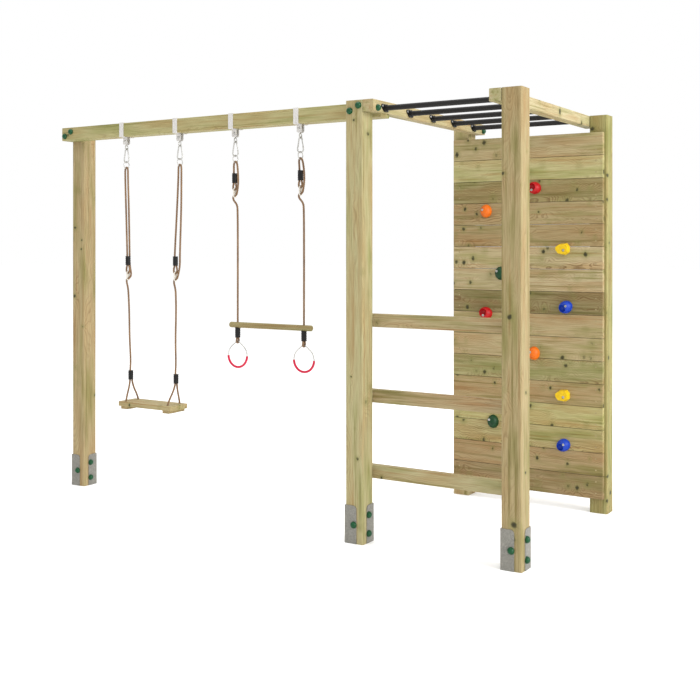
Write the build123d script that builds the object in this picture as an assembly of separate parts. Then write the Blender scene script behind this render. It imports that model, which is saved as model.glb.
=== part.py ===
"""Timber climbing frame with a rope swing, a trapeze with gym rings, monkey bars and a climbing wall.

Lengths are in millimetres. Everything is laid out in a site frame: X to the right, Y to the back,
Z up from the ground, with the front right post's outer front corner at X = 0, Y = 0.
The finished parts are then moved so that the origin is the middle of the footprint.
"""
from build123d import *
import math
import os

# ---------------------------------------------------------------- timber frame
POST = 95.0                  # side of the square posts
POST_HEIGHT = 2090.0
POST_EDGE = 7.0              # rounding of the posts' long edges
LADDER_GAP = 700.0           # clear width between the two front posts
BAY_GAP = 1060.0             # clear depth between the front and the back posts
SWING_GAP = 1910.0           # clear width between the front left post and the swing post
BEAM_HEIGHT = 75.0
BEAM_DEPTH = 80.0
BEAM_STUB = 43.0             # how far the swing beam runs past the front left post
RAIL_WIDTH = 57.0
RAIL_HEIGHT = 57.0
TIMBER_EDGE = 4.0            # rounding of the beam and the rails
FIT = 0.1                    # radial clearance of bolts and screws in their holes

# ---------------------------------------------------------------- monkey bars
BAR_COUNT = 5
BAR_DIAMETER = 26.0
BAR_FIRST = 107.0            # first bar's distance from the front
BAR_PITCH = 246.0
BAR_DROP = 33.0              # bar centre below the rail tops
SOCKET_COLLAR = 33.0
SOCKET_DEPTH = 14.0
SOCKET_FLANGE = 4.5
SOCKET_WIDTH = 36.0          # the flange round the collar
SOCKET_EAR = 9.5             # radius of the flange's two ears
SOCKET_SCREW_REACH = 24.0    # screw centre in front of and behind the bar's axis
SOCKET_SCREW_RISE = 8.0      # and above or below it
SOCKET_SCREW = 5.0
SOCKET_SCREW_HEAD = 9.5
SOCKET_SCREW_LENGTH = 30.0
BAR_END_GAP = 0.5

# ---------------------------------------------------------------- ladder and wall
RUNG_TOPS = (360.0, 720.0, 1080.0)
RUNG_HEIGHT = 63.0
RUNG_THICKNESS = 40.0
RUNG_INSET = 20.0            # rung end from the posts' outer faces
BOARD_COUNT = 16
BOARD_PITCH = 120.0
BOARD_GAP = 1.0
BOARD_THICKNESS = 28.0
BOARD_BOTTOM = 80.0
BOARD_INSET = 15.0           # board end from the posts' outer faces
BOARD_EDGE = 2.5
WOOD_SCREW = 5.0
WOOD_SCREW_HEAD = 8.0
WOOD_SCREW_LENGTH = 65.0
WOOD_SCREW_SPACING = 60.0    # between the two screws at a board's end
RUNG_SCREW_SPACING = 34.0
BOARD_SCREW_INSET = 36.0     # screw from the board's end

# ---------------------------------------------------------------- bolts, caps and anchors
BOLT = 10.0
BOLT_HEAD_FLATS = 17.0
BOLT_HEAD = 6.4
NUT = 8.0
CAP_DIAMETER = 32.0
CAP_BASE = 2.0               # washer part of the cap, under the bolt head
CAP_HEIGHT = 17.5
CAP_RIM = 4.5                # straight skirt below the dome
CAP_CAVITY = 21.0
CAP_CAVITY_HEIGHT = 9.0
BEAM_BOLT_REACH = 24.0       # beam bolt from the post's centre line
BEAM_BOLT_RISE = 12.0        # and above or below the beam's middle
RAIL_BOLT_FRONT = 40.0       # coach screw from the rail's front end
RAIL_BOLT_BACK = 28.0        # and from its back end
RAIL_BOLT_DROP = 38.0
COACH_SCREW_LENGTH = 105.0
ANCHOR_PLATE = 3.0
ANCHOR_LEG = 64.0
ANCHOR_HEIGHT = 180.0
ANCHOR_CORNER = 18.0
ANCHOR_BOLT_REACH = 44.0     # the two side bolts, above and below the plate's middle

# ---------------------------------------------------------------- swing hangers
SEAT_HANGERS = (-2425.0, -2033.0)
TRAPEZE_HANGERS = (-1653.0, -1241.0)
STRAP = 3.0
STRAP_WIDTH = 30.0
EAR_GAP = 18.0               # between the two ears under the beam
EAR_DROP = 43.0
EAR_CORNER = 9.0
HANGER_BOLT = 8.0
HANGER_BOLT_DROP = 25.0      # bolt centre below the beam
HANGER_HEAD = 14.0
HANGER_HEAD_HEIGHT = 4.5
HANGER_NUT_FLATS = 13.0
HANGER_NUT_HEIGHT = 6.5
LINK_WIRE = 6.0
LINK_EYE = 9.5               # radius of the lower eye's wire centre
LINK_EYE_STRAIGHT = 6.0
LINK_EYE_DROP = 31.5         # lower eye's upper centre below the hanger bolt
LOOSE = 0.3                  # gap between pieces that hang in each other
CARABINER_WIRE = 7.0
CARABINER_LENGTH = 85.0
CARABINER_TOP = 8.5          # radius of the wire's centre at the narrow end
CARABINER_BOTTOM = 17.5      # and at the wide end
GATE_WIRE = 5.6
GATE_LENGTH = 34.0
GATE_TONGUE = 2.4
GATE_PIN = 2.5
GATE_HEEL = 7.3              # bar's lower end above the pin, clear of the body when the gate opens
ROPE_RING = 46.0
ROPE_RING_WIRE = 5.0

# ---------------------------------------------------------------- ropes, sleeves and adjusters
ROPE = 10.5
STRAND_REACH = 5.4           # strand centre from a sleeve's axis
SLEEVE_DIAMETER = 27.0
SLEEVE_ROOM = 3.0            # play of the two strands along a sleeve's slot
SLEEVE_RIB = 29.0
SLEEVE_RIB_HEIGHT = 3.2
SLEEVE_RIBS = 5
SLEEVE_HEIGHT = 50.0
SEAT_SLEEVE_TOP = 1347.0
SEAT_SLEEVE_REACH = (11.0, -32.0)     # upper sleeve axis to the right of each seat hanger
SEAT_LOW_SLEEVE_TOP = 707.0
SEAT_LOW_SLEEVE_REACH = (32.0, -28.0)
TRAPEZE_SLEEVE_TOP = 1783.0
TRAPEZE_SLEEVE_REACH = (-5.0, 0.0)
ADJUSTER = 5.0               # plate thickness
ADJUSTER_WIDTH = 24.0
ADJUSTER_HOLE = 14.0
ADJUSTER_PITCH = 30.0
EYE_DROP = 44.0              # long eye's bottom under its sleeve
SHORT_EYE_DROP = 36.0
HAIRPIN = 10.7               # half width of the rope's turn over its ring

# ---------------------------------------------------------------- seat, trapeze and gym rings
SEAT_CENTRE = -2230.0
SEAT_LENGTH = 390.0
SEAT_DEPTH = 140.0
SEAT_THICKNESS = 25.0
SEAT_TOP = 541.0
SEAT_CORNER = 12.0
SEAT_HOLE_INSET = 43.0
SEAT_HOLE_REACH = 50.0
SEAT_HOLE = 14.0
BATTEN_WIDTH = 46.0
BATTEN_THICKNESS = 16.0
BATTEN_INSET = 6.0           # batten end from the board's long edges
BATTEN_GROOVE = 4.0
SEAT_SCREW = 4.0
SEAT_SCREW_HEAD = 8.0
SEAT_SCREW_LENGTH = 34.0
SEAT_SCREW_REACH = 28.0
TRAPEZE_BAR = 30.0
TRAPEZE_LENGTH = 518.0
TRAPEZE_HEIGHT = 992.0
TRAPEZE_ROPE_REACH = (15.0, 21.0)     # rope at the bar, to the right of each trapeze hanger
TRAPEZE_HOLE = 13.0
RING_WIRE = 6.5
RING_RADIUS = 61.0           # radius of the ring's round part, at the wire's centre
RING_APEX = 75.0             # apex above the round part's centre
RING_APEX_RADIUS = 12.0
RING_GRIP = 12.0
RING_GRIP_HALF_ANGLE = 88.0
EYE_APEX_GAP = 12.5          # half width of the rope eye that holds a gym ring

# ---------------------------------------------------------------- climbing holds
HOLD_BOLT = 8.0
HOLD_BOLT_HEAD = 13.0
HOLD_BOLT_HEAD_HEIGHT = 8.0
HOLD_WALL = 22.0             # plastic left between the bolt head and the wall
HOLD_SIZE = 72.0
HOLD_REACH = 42.0            # how far a hold stands off the wall
POCKET_DEPTH = 32.0          # finger pocket's depth from a hold's front
TNUT_FLANGE = 22.0
TNUT_FLANGE_THICKNESS = 1.6
TNUT_BARREL = 10.0
TNUT_BARREL_LENGTH = 10.0
HOLDS = {                    # bolt places on the wall: (X, Z)
    "red": ((-397.0, 1705.0), (-682.0, 1021.0)),
    "orange": ((-686.0, 1604.0), (-405.0, 832.0)),
    "yellow": ((-219.0, 1381.0), (-219.0, 603.0)),
    "green": ((-600.0, 1266.0), (-645.0, 448.0)),
    "blue": ((-206.0, 1086.0), (-218.0, 352.0)),
}

# ---------------------------------------------------------------- places that follow from the sizes
FRONT_RIGHT = (-POST, 0.0)
FRONT_LEFT = (-2 * POST - LADDER_GAP, 0.0)
BACK_Y = POST + BAY_GAP
BACK_RIGHT = (FRONT_RIGHT[0], BACK_Y)
BACK_LEFT = (FRONT_LEFT[0], BACK_Y)
BEAM_FRONT = POST
BEAM_BACK = BEAM_FRONT + BEAM_DEPTH
BEAM_MIDDLE = (BEAM_FRONT + BEAM_BACK) / 2
BEAM_BOTTOM = POST_HEIGHT - BEAM_HEIGHT
BEAM_BOLT_Z = POST_HEIGHT - BEAM_HEIGHT / 2
SWING_POST = (FRONT_LEFT[0] - SWING_GAP - POST, BEAM_BACK)
OUTER_LEFT = FRONT_LEFT[0]
DEPTH = BACK_Y + POST
RAIL_LEFT = FRONT_LEFT[0] + POST
RAIL_RIGHT = FRONT_RIGHT[0]
BAR_Z = POST_HEIGHT - BAR_DROP
RAIL_BOLT_Z = POST_HEIGHT - RAIL_BOLT_DROP
WALL_FACE = BACK_Y - BOARD_THICKNESS
HANGER_BOLT_Z = BEAM_BOTTOM - HANGER_BOLT_DROP
EYE_TOP_Z = HANGER_BOLT_Z - LINK_EYE_DROP
EYE_BOTTOM_Z = EYE_TOP_Z - LINK_EYE_STRAIGHT - LINK_EYE
PIVOT_Z = EYE_BOTTOM_Z + LINK_WIRE / 2 + CARABINER_WIRE / 2 + LOOSE
CARABINER_LOW_Z = PIVOT_Z + CARABINER_WIRE - CARABINER_LENGTH
RING_TOP_Z = CARABINER_LOW_Z + CARABINER_WIRE / 2 + ROPE_RING_WIRE / 2 + LOOSE
ROPE_RING_RADIUS = (ROPE_RING - ROPE_RING_WIRE) / 2
ROPE_RING_Z = RING_TOP_Z - ROPE_RING_RADIUS
ROPE_TOP_Z = ROPE_RING_Z - ROPE_RING_RADIUS + (ROPE_RING_WIRE + ROPE) / 2 + LOOSE
SEAT_HOLE_X = tuple(SEAT_CENTRE + side * (SEAT_LENGTH / 2 - SEAT_HOLE_INSET) for side in (-1, 1))
SEAT_BOTTOM = SEAT_TOP - SEAT_THICKNESS
BATTEN_BOTTOM = SEAT_BOTTOM - BATTEN_THICKNESS
ROPE_UNDER_Z = BATTEN_BOTTOM + BATTEN_GROOVE - ROPE / 2
TRAPEZE_ROPE_X = tuple(x + reach for x, reach in zip(TRAPEZE_HANGERS, TRAPEZE_ROPE_REACH))
TRAPEZE_CENTRE = sum(TRAPEZE_ROPE_X) / 2
TRAPEZE_LOW_SLEEVE_TOP = TRAPEZE_HEIGHT - TRAPEZE_BAR / 2 - LOOSE
TRAPEZE_LOW_SLEEVE_BOTTOM = TRAPEZE_LOW_SLEEVE_TOP - SLEEVE_HEIGHT
RING_PIVOT_Z = TRAPEZE_LOW_SLEEVE_BOTTOM - 19.0
ROPE_EYE_Z = RING_PIVOT_Z - (RING_WIRE + ROPE) / 2 - LOOSE

parts = {}


# ---------------------------------------------------------------- small shapes
def block(x0, x1, y0, y1, z0, z1):
    """Box between two corners."""
    size = Box(x1 - x0, y1 - y0, z1 - z0)
    return Pos((x0 + x1) / 2, (y0 + y1) / 2, (z0 + z1) / 2) * size


def plane_at(start, direction):
    return Plane(origin=Vector(*start), z_dir=Vector(*direction))


def rod(start, end, diameter):
    """Round bar from one point to another."""
    length = (Vector(*end) - Vector(*start)).length
    bar = Cylinder(diameter / 2, length, align=(Align.CENTER, Align.CENTER, Align.MIN))
    return plane_at(start, Vector(*end) - Vector(*start)) * bar


def along(start, direction, distance):
    return Vector(*start) + Vector(*direction) * distance


def group(solids):
    return Compound(children=list(solids))


def timber(x0, x1, y0, y1, z0, z1, grain, edge):
    """Planed timber with its long edges rounded."""
    bar = block(x0, x1, y0, y1, z0, z1)
    return fillet(bar.edges().filter_by(grain), edge)


def swept(path, diameter):
    """Round bar along a smooth path."""
    section = Plane(origin=path @ 0, z_dir=path % 0) * Circle(diameter / 2)
    return sweep(section, path=path)


# ---------------------------------------------------------------- bolts and screws
def hexagon(flats, height):
    return extrude(RegularPolygon(flats / 2, 6, major_radius=False), height)


def hex_bolt(face, direction, length, head):
    """Bolt whose head stands CAP_BASE off the face, with its shank running along direction."""
    back = Vector(*direction) * -1
    seat = along(face, back, CAP_BASE)
    shank = rod(seat, along(seat, direction, length), BOLT)
    return shank + plane_at(seat, back) * hexagon(BOLT_HEAD_FLATS, head)


def nut(face, outward):
    """Nut that stands CAP_BASE off the face where its bolt comes out."""
    seat = along(face, outward, CAP_BASE)
    bore = Cylinder(BOLT / 2 + FIT, NUT, align=(Align.CENTER, Align.CENTER, Align.MIN))
    return plane_at(seat, outward) * (hexagon(BOLT_HEAD_FLATS, NUT) - bore)


def bolt_cap(face, outward):
    """Domed plastic cap with its washer, over a bolt head or a nut."""
    radius = CAP_DIAMETER / 2
    centre = (CAP_HEIGHT ** 2 - radius ** 2 - CAP_RIM ** 2) / (2 * (CAP_HEIGHT - CAP_RIM))
    low = (Align.CENTER, Align.CENTER, Align.MIN)
    dome = Cylinder(radius, CAP_HEIGHT + 1, align=low) & Pos(0, 0, centre) * Sphere(CAP_HEIGHT - centre)
    dome -= Pos(0, 0, CAP_BASE) * Cylinder(CAP_CAVITY / 2, CAP_CAVITY_HEIGHT, align=low)
    dome -= Cylinder(BOLT / 2 + FIT, CAP_BASE, align=low)
    return plane_at(face, outward) * dome


def wood_screw(face, inward, diameter, head, length):
    """Countersunk screw, flush with the face."""
    cone = Cone(head / 2, diameter / 2, head / 2, align=(Align.CENTER, Align.CENTER, Align.MIN))
    shank = Cylinder(diameter / 2, length, align=(Align.CENTER, Align.CENTER, Align.MIN))
    return plane_at(face, inward) * (cone + shank)


def screw_hole(face, inward, diameter, head, length):
    return wood_screw(face, inward, diameter + 2 * FIT, head + 2 * FIT, length + FIT)


# ---------------------------------------------------------------- where the bolts are
RIGHT, BACK, UP = (1, 0, 0), (0, 1, 0), (0, 0, 1)
LEFT, FRONT, DOWN = (-1, 0, 0), (0, -1, 0), (0, 0, -1)
ANCHORED = (FRONT_RIGHT, FRONT_LEFT, SWING_POST)
SHANK_END = 12.0             # bolt's end past the face where its nut is


def anchor_bolts(corner):
    """Each bolt's entry point, direction and grip, for one anchored post."""
    x, y = corner
    grip = POST + 2 * ANCHOR_PLATE
    middle = ANCHOR_HEIGHT / 2
    bolts = [((x + POST / 2, y - ANCHOR_PLATE, middle), BACK, grip)]
    for rise in (-ANCHOR_BOLT_REACH, ANCHOR_BOLT_REACH):
        bolts.append(((x + POST + ANCHOR_PLATE, y + POST / 2, middle + rise), LEFT, grip))
    return bolts


def beam_bolts(corner, front):
    x = corner[0] + POST / 2
    grip = POST + BEAM_DEPTH
    return [((x + side * BEAM_BOLT_REACH, front, BEAM_BOLT_Z + side * BEAM_BOLT_RISE), BACK, grip)
            for side in (-1, 1)]


THROUGH_BOLTS = [bolt for corner in ANCHORED for bolt in anchor_bolts(corner)]
THROUGH_BOLTS += beam_bolts(FRONT_LEFT, 0.0) + beam_bolts(SWING_POST, BEAM_FRONT)
RAIL_BOLT_Y = (RAIL_BOLT_FRONT, DEPTH - RAIL_BOLT_BACK)
COACH_SCREWS = [((RAIL_LEFT + RAIL_WIDTH, y, RAIL_BOLT_Z), LEFT) for y in RAIL_BOLT_Y]
COACH_SCREWS += [((RAIL_RIGHT - RAIL_WIDTH, y, RAIL_BOLT_Z), RIGHT) for y in RAIL_BOLT_Y]


def bolt_holes():
    holes = [rod(face, along(face, way, grip), BOLT + 2 * FIT) for face, way, grip in THROUGH_BOLTS]
    deep = COACH_SCREW_LENGTH - CAP_BASE + FIT
    holes += [rod(face, along(face, way, deep), BOLT + 2 * FIT) for face, way in COACH_SCREWS]
    return holes


def bar_places():
    return [BAR_FIRST + BAR_PITCH * i for i in range(BAR_COUNT)]


def socket_screws():
    """Entry point and direction of each socket screw."""
    places = []
    for y in bar_places():
        for x, way in ((RAIL_LEFT + RAIL_WIDTH, LEFT), (RAIL_RIGHT - RAIL_WIDTH, RIGHT)):
            for side in (-1, 1):
                face = x - way[0] * SOCKET_FLANGE
                places.append(((face, y + side * SOCKET_SCREW_REACH, BAR_Z - side * SOCKET_SCREW_RISE), way))
    return places


def board_screws():
    """Entry points of the screws that hold the wall boards to the back posts."""
    left = OUTER_LEFT + BOARD_INSET + BOARD_SCREW_INSET
    right = -BOARD_INSET - BOARD_SCREW_INSET
    middles = [BOARD_BOTTOM + BOARD_PITCH * (i + 0.5) for i in range(BOARD_COUNT)]
    return [(x, WALL_FACE, z + side * WOOD_SCREW_SPACING / 2)
            for z in middles for x in (left, right) for side in (-1, 1)]


def rung_screws():
    """Entry points of the screws that hold the rungs to the front posts, from behind."""
    places = []
    for top in RUNG_TOPS:
        middle = top - RUNG_HEIGHT / 2
        for x in (OUTER_LEFT + POST / 2, -POST / 2):
            for side in (-1, 1):
                places.append((x, POST + RUNG_THICKNESS, middle + side * RUNG_SCREW_SPACING / 2))
    return places


# ---------------------------------------------------------------- timber frame
def cut(piece, holes):
    """Piece with the holes that reach it taken out."""
    low, high = piece.bounding_box().min, piece.bounding_box().max
    near = []
    for hole in holes:
        box = hole.bounding_box()
        apart = (box.max.X < low.X or box.min.X > high.X or box.max.Y < low.Y
                 or box.min.Y > high.Y or box.max.Z < low.Z or box.min.Z > high.Z)
        if not apart:
            near.append(hole)
    return piece - near if near else piece


def screw_holes():
    holes = [screw_hole(p, BACK, WOOD_SCREW, WOOD_SCREW_HEAD, WOOD_SCREW_LENGTH) for p in board_screws()]
    holes += [screw_hole(p, FRONT, WOOD_SCREW, WOOD_SCREW_HEAD, WOOD_SCREW_LENGTH) for p in rung_screws()]
    for face, way in socket_screws():
        holes.append(rod(face, along(face, way, SOCKET_SCREW_LENGTH + FIT), SOCKET_SCREW + 2 * FIT))
    return holes


HOLES = bolt_holes() + screw_holes()


def make_posts():
    places = {"post_front_right": FRONT_RIGHT, "post_front_left": FRONT_LEFT, "post_back_left": BACK_LEFT,
              "post_back_right": BACK_RIGHT, "post_swing": SWING_POST}
    for name, (x, y) in places.items():
        post = timber(x, x + POST, y, y + POST, 0, POST_HEIGHT, Axis.Z, POST_EDGE)
        parts[name] = cut(post, HOLES)


def make_beam_and_rails():
    end = FRONT_LEFT[0] + POST + BEAM_STUB
    beam = timber(SWING_POST[0], end, BEAM_FRONT, BEAM_BACK, BEAM_BOTTOM, POST_HEIGHT, Axis.X, TIMBER_EDGE)
    beam -= block(RAIL_LEFT, end, BEAM_FRONT, BEAM_BACK, POST_HEIGHT - RAIL_HEIGHT, POST_HEIGHT)
    parts["swing_beam"] = cut(beam, HOLES)
    for name, x in (("rail_left", RAIL_LEFT), ("rail_right", RAIL_RIGHT - RAIL_WIDTH)):
        low = POST_HEIGHT - RAIL_HEIGHT
        rail = timber(x, x + RAIL_WIDTH, 0, DEPTH, low, POST_HEIGHT, Axis.Y, TIMBER_EDGE)
        parts[name] = cut(rail, HOLES)


def make_rungs():
    for number, top in enumerate(RUNG_TOPS, 1):
        rung = timber(OUTER_LEFT + RUNG_INSET, -RUNG_INSET, POST, POST + RUNG_THICKNESS,
                      top - RUNG_HEIGHT, top, Axis.X, TIMBER_EDGE)
        parts[f"ladder_rung_{number}"] = cut(rung, HOLES)


# ---------------------------------------------------------------- monkey bars
def bar_socket(x, y, way):
    """Plastic socket with a slanting two-eared flange; way points out of its mouth."""
    frame = Plane(origin=(x, y, BAR_Z), x_dir=(0, 1, 0), z_dir=way)
    rise = -SOCKET_SCREW_RISE * frame.y_dir.Z
    ears = [Pos(side * SOCKET_SCREW_REACH, side * rise) for side in (-1, 1)]
    rims = Circle(SOCKET_WIDTH / 2).edges()
    for ear in ears:
        rims += (ear * Circle(SOCKET_EAR)).edges()
    flange = extrude(make_hull(rims), SOCKET_FLANGE)
    low = (Align.CENTER, Align.CENTER, Align.MIN)
    body = flange + Cylinder(SOCKET_COLLAR / 2, SOCKET_DEPTH, align=low)
    body -= Pos(0, 0, SOCKET_FLANGE / 2) * Cylinder(BAR_DIAMETER / 2 + FIT, SOCKET_DEPTH, align=low)
    for ear in ears:
        body -= ear * Cylinder(SOCKET_SCREW / 2 + FIT, SOCKET_DEPTH, align=low)
    return frame * body


def socket_screw(face, inward):
    """Pan head screw, its head on the flange."""
    outward = Vector(*inward) * -1
    head = Cylinder(SOCKET_SCREW_HEAD / 2, 2.6, align=(Align.CENTER, Align.CENTER, Align.MIN))
    head = fillet(head.edges().group_by(Axis.Z)[-1], 1.6)
    return rod(face, along(face, inward, SOCKET_SCREW_LENGTH), SOCKET_SCREW) + plane_at(face, outward) * head


def make_monkey_bars():
    left, right = RAIL_LEFT + RAIL_WIDTH, RAIL_RIGHT - RAIL_WIDTH
    seat = SOCKET_FLANGE / 2 + BAR_END_GAP
    sockets = []
    for number, y in enumerate(bar_places(), 1):
        bar = rod((left + seat, y, BAR_Z), (right - seat, y, BAR_Z), BAR_DIAMETER)
        parts[f"monkey_bar_{number}"] = bar
        sockets += [bar_socket(left, y, RIGHT), bar_socket(right, y, LEFT)]
    parts["bar_sockets"] = group(sockets)
    parts["bar_socket_screws"] = group(socket_screw(face, way) for face, way in socket_screws())


# ---------------------------------------------------------------- climbing wall
def hold_places():
    return [place for colour in HOLDS.values() for place in colour]


def make_boards():
    drills = [rod((x, WALL_FACE, z), (x, BACK_Y, z), HOLD_BOLT + 2 * FIT) for x, z in hold_places()]
    barrel = TNUT_BARREL + 2 * FIT
    deep = BACK_Y - TNUT_BARREL_LENGTH - FIT
    drills += [rod((x, deep, z), (x, BACK_Y, z), barrel) for x, z in hold_places()]
    boards = []
    for i in range(BOARD_COUNT):
        low = BOARD_BOTTOM + BOARD_PITCH * i
        board = timber(OUTER_LEFT + BOARD_INSET, -BOARD_INSET, WALL_FACE, BACK_Y,
                       low, low + BOARD_PITCH - BOARD_GAP, Axis.X, BOARD_EDGE)
        boards.append(cut(board, HOLES + drills))
    parts["wall_boards"] = group(boards)


def ellipsoid(width, reach, height):
    """Half of an egg, round side to the front, standing on the wall at Y = 0."""
    ball = scale(Sphere(1), by=(width / 2, reach, height / 2))
    return ball & block(-width, width, -2 * reach, 0, -height, height)


def bolt_bore(face):
    """Bore for a hold's bolt, with a recess for its head that starts at Y = face."""
    bore = rod((0, 0, 0), (0, -2 * HOLD_REACH, 0), HOLD_BOLT + 2 * FIT)
    return bore + rod((0, face, 0), (0, -2 * HOLD_REACH, 0), HOLD_BOLT_HEAD + 3)


def cup_hold(shift_x, shift_z, pocket_x, pocket_z, tilt, width, height):
    """Oval hold with a deep finger pocket scooped out of its front; tilt turns it on the wall."""
    body = ellipsoid(HOLD_SIZE + 4, HOLD_REACH, HOLD_SIZE * 0.92)
    pocket = scale(Sphere(1), by=(width / 2, POCKET_DEPTH, height / 2))
    body -= Pos(pocket_x, -HOLD_REACH, pocket_z) * pocket
    return Pos(shift_x, 0, shift_z) * Rot(0, tilt, 0) * body - bolt_bore(-HOLD_WALL)


def pebble_hold(shift_x, shift_z, width, height):
    body = Pos(shift_x, 0, shift_z) * ellipsoid(width, HOLD_REACH * 0.86, height)
    return body - bolt_bore(-HOLD_WALL)


def block_hold(shift_x, shift_z):
    """Blocky hold: a rounded boss whose left end slopes down to the wall from a slanting ridge."""
    top = ((-38, 12), (-16, 28), (22, 32), (37, 14))
    bottom = ((36, -16), (14, -31), (-20, -27), (-36, -8), (-38, 12))
    outline = fillet(make_face(Polyline(*top, *bottom)).vertices(), 7)
    body = extrude(Plane.XZ * outline, HOLD_REACH * 0.8, taper=8)
    slope = Pos(-17, -HOLD_REACH * 0.8, 0) * Rot(0, 18, 0) * Rot(0, 0, 38) * block(-80, 0, -50, 0, -80, 80)
    body -= slope
    return Pos(shift_x, 0, shift_z) * body - bolt_bore(-HOLD_WALL)


def make_holds():
    shapes = {
        "red": cup_hold(6, 12, -9, 4, 12, 52, 44),
        "orange": pebble_hold(12, -7, 64, HOLD_SIZE),
        "yellow": block_hold(-10, 6),
        "green": pebble_hold(13, -12, 64, HOLD_SIZE + 2),
        "blue": cup_hold(-9, -7, -14, -2, -28, 46, 42),
    }
    for colour, places in HOLDS.items():
        parts[f"holds_{colour}"] = group(Pos(x, WALL_FACE, z) * shapes[colour] for x, z in places)
    head = -HOLD_WALL
    low = (Align.CENTER, Align.CENTER, Align.MIN)
    bolt = rod((0, head, 0), (0, BOARD_THICKNESS - 1, 0), HOLD_BOLT)
    cap = Cylinder(HOLD_BOLT_HEAD / 2, HOLD_BOLT_HEAD_HEIGHT, align=low) - Pos(0, 0, 4) * hexagon(6.0, 6)
    bolt += plane_at((0, head, 0), FRONT) * cap
    parts["hold_bolts"] = group(Pos(x, WALL_FACE, z) * bolt for x, z in hold_places())
    tnut = Cylinder(TNUT_FLANGE / 2, TNUT_FLANGE_THICKNESS, align=low)
    tnut += Pos(0, 0, -TNUT_BARREL_LENGTH) * Cylinder(TNUT_BARREL / 2, TNUT_BARREL_LENGTH, align=low)
    tnut -= Pos(0, 0, -TNUT_BARREL_LENGTH) * Cylinder(HOLD_BOLT / 2 + FIT, 2 * TNUT_BARREL_LENGTH, align=low)
    tnut = plane_at((0, 0, 0), BACK) * tnut
    parts["hold_t_nuts"] = group(Pos(x, BACK_Y, z) * tnut for x, z in hold_places())


# ---------------------------------------------------------------- anchors and fasteners
def anchor_leg(length, plate, height):
    """One leg of an angle plate in XZ, its free top corner rounded."""
    leg = block(0, length, 0, plate, 0, height)
    corner = leg.edges().filter_by(Axis.Y).sort_by(lambda edge: edge.center().X + edge.center().Z)[-1]
    return fillet(corner, ANCHOR_CORNER)


def anchor_angle(corner):
    """Angle plate at a post's front left corner, in the post's own place."""
    x, y = corner
    leg = anchor_leg(ANCHOR_LEG, ANCHOR_PLATE, ANCHOR_HEIGHT)
    side = mirror(Rot(0, 0, -90) * leg, about=Plane.XZ)
    place = Pos(x - ANCHOR_PLATE, y - ANCHOR_PLATE, 0)
    return place * (leg + side)


def make_anchors():
    angles = []
    for corner in ANCHORED:
        centre = (corner[0] + POST / 2, corner[1] + POST / 2)
        near = anchor_angle(corner)
        far = Pos(centre[0], centre[1], 0) * Rot(0, 0, 180) * Pos(-centre[0], -centre[1], 0) * near
        angles += [cut(near, HOLES), cut(far, HOLES)]
    parts["ground_anchors"] = group(angles)


def make_fasteners():
    bolts, nuts, caps = [], [], []
    for face, way, grip in THROUGH_BOLTS:
        out = along(face, way, grip)
        bolts.append(hex_bolt(face, way, grip + CAP_BASE + SHANK_END, BOLT_HEAD))
        nuts.append(nut(out, way))
        caps += [bolt_cap(face, Vector(*way) * -1), deep_cap(out, way)]
    coach = [hex_bolt(face, way, COACH_SCREW_LENGTH, BOLT_HEAD) for face, way in COACH_SCREWS]
    caps += [bolt_cap(face, Vector(*way) * -1) for face, way in COACH_SCREWS]
    parts["frame_bolts"] = group(bolts)
    parts["frame_nuts"] = group(nuts)
    parts["rail_coach_screws"] = group(coach)
    parts["bolt_caps"] = group(caps)
    screws = [wood_screw(p, BACK, WOOD_SCREW, WOOD_SCREW_HEAD, WOOD_SCREW_LENGTH) for p in board_screws()]
    screws += [wood_screw(p, FRONT, WOOD_SCREW, WOOD_SCREW_HEAD, WOOD_SCREW_LENGTH) for p in rung_screws()]
    parts["wood_screws"] = group(screws)


def deep_cap(face, outward):
    """The same cap over a nut, hollowed for the bolt's end."""
    low = (Align.CENTER, Align.CENTER, Align.MIN)
    end = Cylinder(BOLT / 2 + FIT, SHANK_END + FIT, align=low)
    return bolt_cap(face, outward) - plane_at(face, outward) * end


# ---------------------------------------------------------------- swing hangers
def hanger_strap(x):
    """Steel strap round the beam, with two ears under it for the hanger bolt."""
    x0, x1 = x - STRAP_WIDTH / 2, x + STRAP_WIDTH / 2
    outer = block(x0, x1, BEAM_FRONT - STRAP, BEAM_BACK + STRAP, BEAM_BOTTOM - STRAP, POST_HEIGHT + STRAP)
    band = outer - block(x0, x1, BEAM_FRONT, BEAM_BACK, BEAM_BOTTOM, POST_HEIGHT)
    half = EAR_GAP / 2
    band -= block(x0, x1, BEAM_MIDDLE - half, BEAM_MIDDLE + half, BEAM_BOTTOM - STRAP, BEAM_BOTTOM)
    for side in (-1, 1):
        near, far = BEAM_MIDDLE + side * half, BEAM_MIDDLE + side * (half + STRAP)
        ear = block(x0, x1, min(near, far), max(near, far), BEAM_BOTTOM - EAR_DROP, BEAM_BOTTOM)
        corners = ear.edges().filter_by(Axis.Y).group_by(Axis.Z)[0]
        band += fillet(corners, EAR_CORNER)
    reach = half + STRAP + 1
    return band - rod((x, BEAM_MIDDLE - reach, HANGER_BOLT_Z), (x, BEAM_MIDDLE + reach, HANGER_BOLT_Z),
                      HANGER_BOLT + 2 * FIT)


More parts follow.
